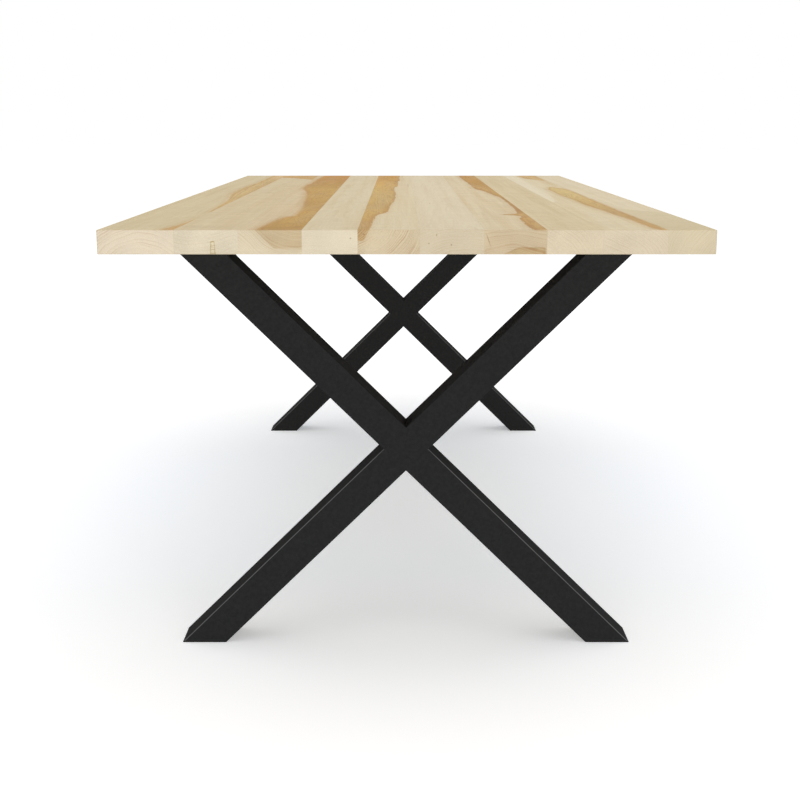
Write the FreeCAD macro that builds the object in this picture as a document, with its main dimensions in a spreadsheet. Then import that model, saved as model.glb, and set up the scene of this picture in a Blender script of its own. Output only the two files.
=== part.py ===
"""Sawbuck dining table: an edge-glued board top bolted to two welded X frames.

Lengths are millimetres. +Z is up, +Y runs along the table and +X across it.
The origin lies on the floor under the middle of the top. Each X frame stands
in its own XZ plane: one bar runs through, and the other is two coped halves.
"""
import FreeCAD, Part
import os
import Sketcher
from FreeCAD import Rotation, Vector

SIZES = {
    # The whole table
    "table_height": 752,
    "top_length": 2134,
    "top_thick": 38,
    "edge_ease": 1,
    # Widths of the boards in the top, from -X to +X
    "board_01_width": 120,
    "board_02_width": 100,
    "board_03_width": 99,
    "board_04_width": 87,
    "board_05_width": 97,
    "board_06_width": 100.5,
    "board_07_width": 97.5,
    "board_08_width": 88,
    "board_09_width": 100.5,
    "board_10_width": 75.5,
    # X frames of rectangular steel tube
    "leg_setback": 183,
    "leg_spread": 802.3,
    "bar_face": 55.3,
    "bar_depth": 74,
    "bar_wall": 3,
    "bar_corner": 2,
    # Feet: a welded steel cap on each bar, and a rubber pad glued under it
    "cap_thick": 4,
    "pad_thick": 3,
    # Flat plate welded across the top of each frame
    "plate_thick": 6,
    "plate_ledge": 3,
    "plate_corner": 5,
    "weld_leg": 6,
    # Hex flange bolts: one in the middle of the plate, four in slots
    "bolt_column": 240,
    "bolt_row": 44,
    "slot_travel": 8,
    "bolt_clearance": 0.5,
    "bolt_dia": 8,
    "bolt_length": 25,
    "flange_dia": 17.9,
    "flange_thick": 1.5,
    "head_across": 13,
    "head_height": 8,
    # Threaded inserts sunk in the underside of the top
    "insert_wall": 1.9,
    "insert_length": 18,
    "insert_fit": 0.1,
    "thread_gap": 0.1,
    "drill_beyond": 3,
}
BOARDS = [name[:-len("_width")] for name in SIZES if name.startswith("board_")]
# A bolt's place on its plate, in columns and rows from the middle
BOLT_PLACES = ((-1, -1), (-1, 1), (0, 0), (1, -1), (1, 1))

# Each of these follows from the sizes, as a formula that the objects share.
FORMULAS = {
    "leg_height": "Sizes.table_height - Sizes.top_thick",
    "mid_height": "leg_height / 2",
    "lean": "acos(Sizes.bar_face / sqrt(leg_height ^ 2 + Sizes.leg_spread ^ 2))"
            " - atan(leg_height / Sizes.leg_spread)",
    "face_half": "Sizes.bar_face / 2",
    "frame_y": "(Sizes.top_length - Sizes.bar_depth) / 2 - Sizes.leg_setback",
    "cap_height": "Sizes.pad_thick + Sizes.cap_thick",
    "plate_height": "leg_height - Sizes.plate_thick",
    "bolt_hole_dia": "Sizes.bolt_dia + 2 * Sizes.bolt_clearance",
    "insert_bore": "Sizes.bolt_dia + 2 * Sizes.thread_gap",
    "insert_dia": "insert_bore + 2 * Sizes.insert_wall",
    "insert_hole_dia": "insert_dia + 2 * Sizes.insert_fit",
    "insert_hole_depth": "max(Sizes.insert_length; Sizes.bolt_length - Sizes.plate_thick)"
                         " + Sizes.drill_beyond",
}

doc = FreeCAD.newDocument("SawbuckTable")
subparts = []


# --- sizes and formulas ------------------------------------------------------

def write_sizes():
    """Put each driving size in the sheet, one row each, under its alias."""
    sheet = doc.addObject("Spreadsheet::Sheet", "Sizes")
    for row, (name, size) in enumerate(SIZES.items(), 1):
        sheet.set(f"A{row}", name)
        sheet.set(f"B{row}", str(size))
        sheet.setAlias(f"B{row}", name)
    doc.recompute()


def write_formulas():
    """Add the formulas, and the x of every glue line between the boards."""
    layout = doc.addObject("App::VarSet", "Layout")
    formulas = dict(FORMULAS)
    widths = [f"Sizes.{board}_width" for board in BOARDS]
    formulas["line_00"] = f"-({' + '.join(widths)}) / 2"
    for number, width in enumerate(widths, 1):
        formulas[f"line_{number:02d}"] = f"line_{number - 1:02d} + {width}"
    for name, formula in formulas.items():
        kind = "App::PropertyAngle" if name == "lean" else "App::PropertyFloat"
        layout.addProperty(kind, name, "Layout")
        layout.setExpression(name, formula)
    doc.recompute()
    return layout


def value(expression):
    """The present value of an expression over Sizes and Layout."""
    found = layout.evalExpression(expression)
    return float(getattr(found, "Value", found))


# --- sketches and features ---------------------------------------------------

def new_body(label, x="0", y="0", z="0", kept=True):
    """A body at a bound place; a kept one is a sub-part of the table."""
    body = doc.addObject("PartDesign::Body", label)
    body.Label = label
    for axis, place in (("x", x), ("y", y), ("z", z)):
        body.setExpression(f"Placement.Base.{axis}", place)
    if kept:
        subparts.append(body)
    return body


def origin_feature(body, role):
    return next(f for f in body.Origin.OriginFeatures if f.Role == role)


def new_sketch(body, name, role):
    sketch = body.newObject("Sketcher::SketchObject", name)
    sketch.AttachmentSupport = [(origin_feature(body, role), "")]
    sketch.MapMode = "FlatFace"
    return sketch


def pin_point(sketch, geometry, end, across, up):
    """Hold one point of a sketch at a place given by two expressions."""
    for kind, place in (("DistanceX", across), ("DistanceY", up)):
        bond = Sketcher.Constraint(kind, -1, 1, geometry, end, value(place))
        sketch.setExpression(f"Constraints[{sketch.addConstraint(bond)}]", place)


def draw_outline(sketch, corners):
    """A closed outline; each corner is a pair of expressions."""
    points = [Vector(value(across), value(up), 0) for across, up in corners]
    after = points[1:] + points[:1]
    lines = [
        sketch.addGeometry(Part.LineSegment(start, stop), False)
        for start, stop in zip(points, after)
    ]
    for line, following in zip(lines, lines[1:] + lines[:1]):
        sketch.addConstraint(Sketcher.Constraint("Coincident", line, 2, following, 1))
    for line, (across, up) in zip(lines, corners):
        pin_point(sketch, line, 1, across, up)


def draw_rectangle(sketch, left, right, low, high):
    draw_outline(sketch, [(left, low), (right, low), (right, high), (left, high)])


def draw_circle(sketch, across, up, diameter):
    centre = Vector(value(across), value(up), 0)
    ring = Part.Circle(centre, Vector(0, 0, 1), value(diameter) / 2)
    circle = sketch.addGeometry(ring, False)
    pin_point(sketch, circle, 3, across, up)
    bond = Sketcher.Constraint("Diameter", circle, value(diameter))
    sketch.setExpression(f"Constraints[{sketch.addConstraint(bond)}]", diameter)


def draw_slot(sketch, across, up, travel, width):
    """A slot along the sketch's x: two half circles joined by two lines."""
    radius = value(width) / 2
    arcs = []
    for side, start in ((-1, 90), (1, -90)):
        centre_x = f"{across} + {side} * {travel} / 2"
        middle = Vector(value(centre_x), value(up), 0)
        turn = [Rotation(Vector(0, 0, 1), start + step) for step in (0, 90, 180)]
        bend = Part.Arc(*[middle + t.multVec(Vector(radius, 0, 0)) for t in turn])
        arcs.append(sketch.addGeometry(bend, False))
        pin_point(sketch, arcs[-1], 3, centre_x, up)
    left, right = arcs
    for start, stop in ((left, right), (right, left)):
        begin = sketch.getPoint(start, 2)
        finish = sketch.getPoint(stop, 1)
        line = sketch.addGeometry(Part.LineSegment(begin, finish), False)
        sketch.addConstraint(Sketcher.Constraint("Tangent", start, 2, line, 1))
        sketch.addConstraint(Sketcher.Constraint("Tangent", line, 2, stop, 1))
    bond = Sketcher.Constraint("Radius", left, radius)
    sketch.setExpression(f"Constraints[{sketch.addConstraint(bond)}]", f"{width} / 2")


def pad(body, sketch, length, symmetric=False, downward=False):
    feature = body.newObject("PartDesign::Pad", "Pad")
    feature.Profile = sketch
    feature.SideType = "Symmetric" if symmetric else "One side"
    feature.Reversed = downward
    feature.setExpression("Length", length)


def cut(body, sketch, length, symmetric=False):
    """Pocket a sketch along its own +Z, or both ways, and see that it cut."""
    doc.recompute()
    before = body.Shape.Volume
    feature = body.newObject("PartDesign::Pocket", "Pocket")
    feature.Profile = sketch
    feature.SideType = "Symmetric" if symmetric else "One side"
    feature.Reversed = not symmetric
    feature.setExpression("Length", length)
    doc.recompute()
    if body.Shape.Volume >= before:
        raise RuntimeError(f"{body.Label}: {sketch.Label} cuts nothing")


def dress_edges(body, kind, size, chosen):
    """Fillet or Chamfer the edges of the body for which chosen says yes."""
    doc.recompute()
    base = body.Tip
    edges = enumerate(base.Shape.Edges, 1)
    names = [f"Edge{number}" for number, edge in edges if chosen(edge)]
    feature = body.newObject(f"PartDesign::{kind}", kind)
    feature.Base = (base, names)
    feature.setExpression("Radius" if kind == "Fillet" else "Size", size)


def runs_along(edge, direction):
    return edge.tangentAt(edge.FirstParameter).cross(direction).Length < 1e-6


def is_upright(edge):
    return runs_along(edge, Vector(0, 0, 1))


def middle_of(edge):
    return edge.valueAt((edge.FirstParameter + edge.LastParameter) / 2)


def near(one, other):
    return abs(one - other) < 1e-4


# --- the top -----------------------------------------------------------------

def tabletop_board(number, board):
    """One board, with its share of the blind holes for threaded inserts."""
    left = f"Layout.line_{number - 1:02d}"
    body = new_body(f"tabletop_{board}", x=left, z="Layout.leg_height")
    width = f"Sizes.{board}_width"
    half = "Sizes.top_length / 2"
    plan = new_sketch(body, "Plan", "XY_Plane")
    draw_rectangle(plan, "0", width, f"-{half}", half)
    pad(body, plan, "Sizes.top_thick")
    outer_x = {1: 0, len(BOARDS): value(width)}.get(number)

    def is_outer_arris(edge):
        middle = middle_of(edge)
        if outer_x is not None and near(middle.x, outer_x):
            return True
        on_end = near(abs(middle.y), value(half))
        return on_end and runs_along(edge, Vector(1, 0, 0))

    dress_edges(body, "Chamfer", "Sizes.edge_ease", is_outer_arris)
    drill_insert_holes(body, left, width)


def drill_insert_holes(body, left, width):
    """Cut every insert hole that reaches into this board from below."""
    reach = value("Layout.insert_hole_dia") / 2
    places = []
    for across, along in bolt_places():
        across = f"{across} - {left}"
        if -reach < value(across) < value(width) + reach:
            places += [(across, f"{end} * Layout.frame_y + {along}") for end in (-1, 1)]
    if places:
        holes = new_sketch(body, "InsertHoles", "XY_Plane")
        for across, along in places:
            draw_circle(holes, across, along, "Layout.insert_hole_dia")
        cut(body, holes, "Layout.insert_hole_depth")


# --- the X frames ------------------------------------------------------------
# A bar's edges lie at a distance from its centre line, and rise is +1 for the
# bar that climbs towards +X and -1 for the one that climbs towards -X.

def edge_x(height, distance, rise):
    """The x at a height of the line at a distance from a bar's centre line."""
    climb = f"{rise} * ({height} - Layout.mid_height) * tan(Layout.lean)"
    return f"{climb} + {distance} / cos(Layout.lean)"


def crossing(half_bar, through_bar):
    """Where a line of the split bar meets a line of the through bar."""
    across = f"({half_bar} + {through_bar}) / 2 / cos(Layout.lean)"
    up = f"Layout.mid_height + ({half_bar} - {through_bar}) / 2 / sin(Layout.lean)"
    return across, up


def level_cut(height, half_width, rise):
    """The two corners of a bar's level cut at a height, from -X to +X."""
    return [(edge_x(height, f"{side} * {half_width}", rise), height) for side in (-1, 1)]


def bar_blank(body, rise, corners, hollow_corners=None):
    """Tube along an outline: squared sides, bored hollow, its edges rounded."""
    lean = value("Layout.lean")
    direction = Rotation(Vector(0, 1, 0), rise * lean).multVec(Vector(0, 0, 1))

    def is_outer_corner(edge):
        on_side = near(abs(middle_of(edge).y), value("Sizes.bar_depth / 2"))
        return on_side and runs_along(edge, direction)

    face = new_sketch(body, "Face", "XZ_Plane")
    draw_outline(face, corners)
    pad(body, face, "Sizes.bar_depth", symmetric=True)
    if hollow_corners:
        hollow = new_sketch(body, "Hollow", "XZ_Plane")
        draw_outline(hollow, hollow_corners)
        cut(body, hollow, "Sizes.bar_depth - 2 * Sizes.bar_wall", symmetric=True)
    dress_edges(body, "Fillet", "Sizes.bar_corner", is_outer_corner)


INNER_HALF = "(Layout.face_half - Sizes.bar_wall)"


def through_bar(end, frame_y):
    """The bar that runs whole from the foot at -X to the plate at +X."""
    body = new_body(f"{end}_through_bar", y=frame_y)
    foot, head = "Layout.cap_height", "Layout.plate_height"
    outer = level_cut(foot, "Layout.face_half", 1) + level_cut(head, "Layout.face_half", 1)[::-1]
    inner = level_cut(foot, INNER_HALF, 1) + level_cut(head, INNER_HALF, 1)[::-1]
    bar_blank(body, 1, outer, inner)


def half_bar(end, which, height, through_side, frame_y):
    """Half of the split bar, coped over the rounded edge of the through bar.

    The blank runs past the through bar's side by the corner radius, and the
    cope takes off all of it but the feather that lies on the rounded edge.
    """
    blank = new_body(f"{end}_{which}_blank", kept=False)
    joint = f"{through_side} * Layout.face_half"
    past_joint = f"{through_side} * (Layout.face_half - Sizes.bar_corner)"
    outer = [
        crossing("Layout.face_half", past_joint),
        crossing("-Layout.face_half", past_joint),
    ]
    inner = [crossing(INNER_HALF, joint), crossing(f"-{INNER_HALF}", joint)]
    outer += level_cut(height, "Layout.face_half", -1)
    inner += level_cut(height, INNER_HALF, -1)
    bar_blank(blank, -1, outer, inner)
    envelope = new_body(f"{end}_{which}_cope", kept=False)
    ends = ("Layout.cap_height", "Layout.plate_height")
    low, high = [level_cut(level, "Layout.face_half", 1) for level in ends]
    bar_blank(envelope, 1, low + high[::-1])
    coped = doc.addObject("Part::Cut", f"{end}_{which}_half_bar")
    coped.Base = blank
    coped.Tool = envelope
    coped.setExpression("Placement.Base.y", frame_y)
    subparts.append(coped)


def foot_slice(label, rise, low, high, frame_y):
    """A cap or pad of a bar's foot, trimmed flush with its slope and corners."""
    body = new_body(label, y=frame_y)
    bottom, top = [level_cut(level, "Layout.face_half", rise) for level in (low, high)]
    bar_blank(body, rise, bottom + top[::-1])


def mounting_plate(end, frame_y):
    """Flat plate on both upper ends: a round hole in the middle, slots outside."""
    body = new_body(f"{end}_mounting_plate", y=frame_y, z="Layout.plate_height")
    plan = new_sketch(body, "Plan", "XY_Plane")
    reach = edge_x("Layout.plate_height", "Layout.face_half", 1)
    reach = f"({reach} + Sizes.plate_ledge)"
    draw_rectangle(plan, f"-{reach}", reach, "-Sizes.bar_depth / 2", "Sizes.bar_depth / 2")
    pad(body, plan, "Sizes.plate_thick")
    dress_edges(body, "Fillet", "Sizes.plate_corner", is_upright)
    holes = new_sketch(body, "BoltHoles", "XY_Plane")
    for (column, _), (across, along) in zip(BOLT_PLACES, bolt_places()):
        if column:
            draw_slot(holes, across, along, "Sizes.slot_travel", "Layout.bolt_hole_dia")
        else:
            draw_circle(holes, across, along, "Layout.bolt_hole_dia")
    cut(body, holes, "Sizes.plate_thick")


def plate_welds(end, frame_y):
    """Fillet welds that hold the plate on the inner and outer side of a bar."""
    body = new_body(f"{end}_plate_welds", y=frame_y)
    under = "Layout.plate_height"
    for side, leg in ((-1, "Sizes.weld_leg"), (1, "Sizes.plate_ledge")):
        edge = f"{side} * Layout.face_half"
        root = edge_x(under, edge, 1)
        lower = f"({under} - {leg} * cos(Layout.lean))"
        bead = new_sketch(body, "Bead", "XZ_Plane")
        toe = (f"{root} + {side} * {leg}", under)
        draw_outline(bead, [(root, under), toe, (edge_x(lower, edge, 1), lower)])
        pad(body, bead, "Sizes.bar_depth - 2 * Sizes.bar_corner", symmetric=True)
    doc.recompute()
    pads = [f for f in body.Group if f.isDerivedFrom("PartDesign::Pad")]
    mirrored = body.newObject("PartDesign::Mirrored", "Mirrored")
    mirrored.Originals = pads
    mirrored.MirrorPlane = (origin_feature(body, "YZ_Plane"), [""])
    body.Tip = mirrored


# --- fasteners ---------------------------------------------------------------

def bolt_places():
    """Across and along the plate from its middle, for each bolt."""
    return [
        (f"{column} * Sizes.bolt_column", f"{row} * Sizes.bolt_row / 2")
        for column, row in BOLT_PLACES
    ]


def draw_hexagon(sketch, across, along, across_flats):
    corner = f"{across_flats} / sqrt(3)"
    turns = [60 * step for step in range(6)]
    draw_outline(sketch, [
        (f"{across} + {corner} * cos({turn})", f"{along} + {corner} * sin({turn})")
        for turn in turns
    ])


def plate_bolts(end, frame_y):
    """Bolts up through the plate: flange on its underside, hex head below."""
    body = new_body(f"{end}_plate_bolts", y=frame_y, z="Layout.plate_height")
    shank = new_sketch(body, "Shank", "XY_Plane")
    flange = new_sketch(body, "Flange", "XY_Plane")
    head = new_sketch(body, "Head", "XY_Plane")
    for across, along in bolt_places():
        draw_circle(shank, across, along, "Sizes.bolt_dia")
        draw_circle(flange, across, along, "Sizes.flange_dia")
        draw_hexagon(head, across, along, "Sizes.head_across")
    pad(body, shank, "Sizes.bolt_length")
    pad(body, flange, "Sizes.flange_thick", downward=True)
    pad(body, head, "Sizes.head_height", downward=True)


def threaded_inserts(end, frame_y):
    """Threaded sleeves, flush with the underside of the top."""
    body = new_body(f"{end}_threaded_inserts", y=frame_y, z="Layout.leg_height")
    rings = new_sketch(body, "Rings", "XY_Plane")
    for across, along in bolt_places():
        draw_circle(rings, across, along, "Layout.insert_bore")
        draw_circle(rings, across, along, "Layout.insert_dia")
    pad(body, rings, "Sizes.insert_length")


# --- assembly ----------------------------------------------------------------

def x_frame(end, frame_y):
    through_bar(end, frame_y)
    half_bar(end, "upper", "Layout.plate_height", -1, frame_y)
    half_bar(end, "lower", "Layout.cap_height", 1, frame_y)
    for side, rise in (("left", 1), ("right", -1)):
        foot = f"{end}_{side}_foot"
        foot_slice(f"{foot}_cap", rise, "Sizes.pad_thick", "Layout.cap_height", frame_y)
        foot_slice(f"{foot}_pad", rise, "0", "Sizes.pad_thick", frame_y)
    mounting_plate(end, frame_y)
    plate_welds(end, frame_y)
    plate_bolts(end, frame_y)
    threaded_inserts(end, frame_y)


def check_and_export():
    """Stop on any object that failed, then write one STEP file a sub-part."""
    doc.recompute()
    for item in doc.Objects:
        if {"Invalid", "Error"} & set(item.State):
            raise RuntimeError(f"{item.Label}: {item.State}")
    for item in subparts:
        if item.Shape.isNull() or not item.Shape.isValid():
            raise RuntimeError(f"{item.Label}: bad shape")
    os.makedirs("parts", exist_ok=True)
    for item in subparts:
        item.Shape.exportStep(f"parts/{item.Label}.step")


write_sizes()
layout = write_formulas()
for number, board in enumerate(BOARDS, 1):
    tabletop_board(number, board)
x_frame("front", "-Layout.frame_y")
x_frame("rear", "Layout.frame_y")
check_and_export()
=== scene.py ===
"""Sawbuck dining table: an edge-glued maple top bolted to two welded X frames.

Lengths are metres. +Z is up, +Y runs along the table and +X across it.
The figure of the wood is laid out in millimetres, from each board's own corner.
"""
from functools import partial
import math
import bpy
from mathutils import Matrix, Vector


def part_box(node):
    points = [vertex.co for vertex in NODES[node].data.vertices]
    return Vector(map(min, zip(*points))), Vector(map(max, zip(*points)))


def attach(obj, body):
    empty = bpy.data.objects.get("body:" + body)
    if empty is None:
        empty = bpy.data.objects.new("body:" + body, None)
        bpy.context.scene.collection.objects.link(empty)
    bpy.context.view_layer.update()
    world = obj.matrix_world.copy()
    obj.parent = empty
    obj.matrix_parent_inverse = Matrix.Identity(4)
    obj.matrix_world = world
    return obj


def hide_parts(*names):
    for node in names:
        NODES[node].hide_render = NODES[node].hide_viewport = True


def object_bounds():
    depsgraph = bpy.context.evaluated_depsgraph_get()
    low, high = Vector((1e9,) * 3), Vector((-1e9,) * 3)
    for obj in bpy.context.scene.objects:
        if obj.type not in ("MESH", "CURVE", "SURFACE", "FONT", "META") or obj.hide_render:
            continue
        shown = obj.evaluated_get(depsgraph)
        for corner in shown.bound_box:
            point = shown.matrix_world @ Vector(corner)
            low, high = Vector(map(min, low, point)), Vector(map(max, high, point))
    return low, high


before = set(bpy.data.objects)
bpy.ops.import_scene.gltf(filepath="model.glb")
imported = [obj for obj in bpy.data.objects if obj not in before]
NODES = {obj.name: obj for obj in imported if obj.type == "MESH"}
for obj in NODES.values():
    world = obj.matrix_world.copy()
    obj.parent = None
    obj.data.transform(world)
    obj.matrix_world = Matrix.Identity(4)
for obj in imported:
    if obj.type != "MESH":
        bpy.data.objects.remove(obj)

from types import SimpleNamespace

import bpy
from mathutils import Vector

CAD_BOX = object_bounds()
ENDS = ("front", "rear")
bpy.ops.object.select_all(action="DESELECT")

# The X frames, of rectangular steel tube
LEG_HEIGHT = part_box("tabletop_board_01")[0].z
LEG_SPREAD = 0.8023      # over the feet of one X
BAR_FACE = 0.0553
BAR_DEPTH = 0.074
BAR_WALL = 0.003
BAR_CORNER = 0.002
CORNER_FACETS = 7
BLANK_LENGTH = 1.4       # of a bar before it is sawn, longer than any leg
SAW_PAST = 0.01          # how far a bore or a cope runs past the ends of its tube
COPE_LAP = 0.85 * BAR_CORNER     # how far a half bar laps over the whole bar's corners
PLATE_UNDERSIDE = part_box("front_mounting_plate")[0].z
CAP_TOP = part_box("front_left_foot_cap")[1].z
CAP_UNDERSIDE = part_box("front_left_foot_cap")[0].z
# How far a bar leans from upright, when its outer edges reach over that height and spread
LEAN = (math.acos(BAR_FACE / math.hypot(LEG_HEIGHT, LEG_SPREAD))
        - math.atan(LEG_HEIGHT / LEG_SPREAD))
ALONG_BAR = Vector((math.sin(LEAN), 0, math.cos(LEAN)))
ACROSS_BAR = Vector((math.cos(LEAN), 0, -math.sin(LEAN)))
FRAME_Y = {end: sum(side.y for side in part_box(f"{end}_through_bar")) / 2 for end in ENDS}

# Weld beads under each plate: (side of the bar, leg, how far the bead bulges)
WELDS = ((-1, 0.006, 0.0004), (1, 0.003, 0.0005))
WELD_LENGTH = 0.070
RIPPLE = 0.0017          # from one ripple of the bead to the next
RIPPLE_DEPTH = 0.6       # as a share of the bulge

# Hex flange bolts, M8 x 25, and their places on a plate
BOLT_RADIUS = 0.004
BOLT_LENGTH = 0.025
TIP_CHAMFER = 0.2 * BOLT_RADIUS
HEAD_ACROSS = 0.013      # across the flats
HEAD_HEIGHT = 0.008
HEAD_FLAT = 0.47 * HEAD_ACROSS   # radius of the flat end of the head, inside its chamfer
HEAD_CHAMFER = math.radians(30)
FLANGE_RADIUS = 0.00895
FLANGE_THICK = 0.0015
FLANGE_ROUNDING = 0.6 * FLANGE_THICK
WRENCH_TURN = 1.7        # radians from where one bolt stopped to where the next did
BOLT_PLACES = ((-0.24, -0.022), (-0.24, 0.022), (0, 0), (0.24, -0.022), (0.24, 0.022))

# The top, in millimetres
TOP_LENGTH = 1000 * (CAD_BOX[1].y - CAD_BOX[0].y)
TOP_THICK = 1000 * (CAD_BOX[1].z - LEG_HEIGHT)


# --- materials ---------------------------------------------------------------

def linear(code):
    """The linear colour, with alpha, of an sRGB hex code."""
    parts = [int(code[place:place + 2], 16) / 255 for place in (1, 3, 5)]
    return tuple(part / 12.92 if part <= 0.04045 else ((part + 0.055) / 1.055) ** 2.4
                 for part in parts) + (1.0,)


def node(tree, kind, *inputs, stops=(), points=(), **settings):
    """Add a node with its settings, and link or set its inputs.

    The inputs come in the order in which the node shows them, or as one dict by
    name. stops are the places and colours of a ramp, and points those of a curve.
    """
    new = tree.nodes.new("ShaderNode" + kind)
    for name, setting in settings.items():
        setattr(new, name, setting)
    shown = [socket for socket in new.inputs if socket.enabled]
    sockets = dict(enumerate(shown)) | {socket.name: socket for socket in shown}
    by_name = bool(inputs) and isinstance(inputs[0], dict)
    for key, given in (inputs[0].items() if by_name else enumerate(inputs)):
        if isinstance(given, bpy.types.Node):
            given = next(output for output in given.outputs if output.enabled)
        if isinstance(given, bpy.types.NodeSocket):
            tree.links.new(given, sockets[key])
        else:
            sockets[key].default_value = given
    for number, (place, colour) in enumerate(stops):
        elements = new.color_ramp.elements
        stop = elements[number] if number < 2 else elements.new(place)
        stop.position = place
        stop.color = colour
    if points:
        curve = new.mapping.curves[0]
        for number, point in enumerate(points):
            knot = curve.points[number] if number < 2 else curve.points.new(*point)
            knot.location = point
            knot.handle_type = "AUTO_CLAMPED"
        new.mapping.update()
    return new


def new_material(name):
    """A material with an empty tree, and the function that adds a node to it."""
    made = bpy.data.materials.new(name)
    made.use_nodes = True
    made.node_tree.nodes.clear()
    return made, partial(node, made.node_tree)


def paint(piece, finish):
    """Give a piece one material all over."""
    piece.data.materials.clear()
    piece.data.materials.append(finish)


# Hard maple, edge-glued and rubbed with a matt hardwax oil: cream sapwood with
# faint growth rings, fibre and curl, and tan heartwood where a board reaches it.
#
# A board's entries, in millimetres:
#   sap, tan, end    the two tones of its faces, and its end grain, which scatters more
#   pith             the middle of its rings, (across, up) from its corner
#   ring, clear      the growth of one year, and how plain its late wood is in end grain
#   curl             how much the curl of its fibres lightens and darkens it
#   streaks          its heartwood, and the odd tract of paler or darker sapwood
#   marks            its pin knots and mineral lines, each with its middle, its half
#                    sizes and how many degrees it leans
# A streak's entries:
#   face, depth      the face that it shows on, and how deep it goes from there
#   left, right      its two sides on that face, each a line of (distance from the
#                    front end, distance from the board's left side)
#   slope            how far each side draws inwards for each millimetre of depth
#   tones, rim       its tones by distance from the front end, and its rim's tone
#   rim_width, soft  how wide the rim is, and how softly the streak's edge sets in
#   halo, on_end     the strength of the stained wood round it, and of the streak
#                    itself in end grain
#   greyed           how far its tone turns grey in end grain
#   figured          0 for plain wood, without heartwood's loops and mottle
LINE_LOW, LINE_HIGH = -25, 125     # where a streak's line may lie across a board
PAST = 125                         # past the right side of any board
OPEN_LEFT = [(0, LINE_LOW), (2134, LINE_LOW)]    # the streak runs out through that side
OPEN_RIGHT = [(0, PAST), (2134, PAST)]
USUAL_STREAK = dict(rim_width=12, soft=2.2, greyed=0.5, figured=1)
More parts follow.
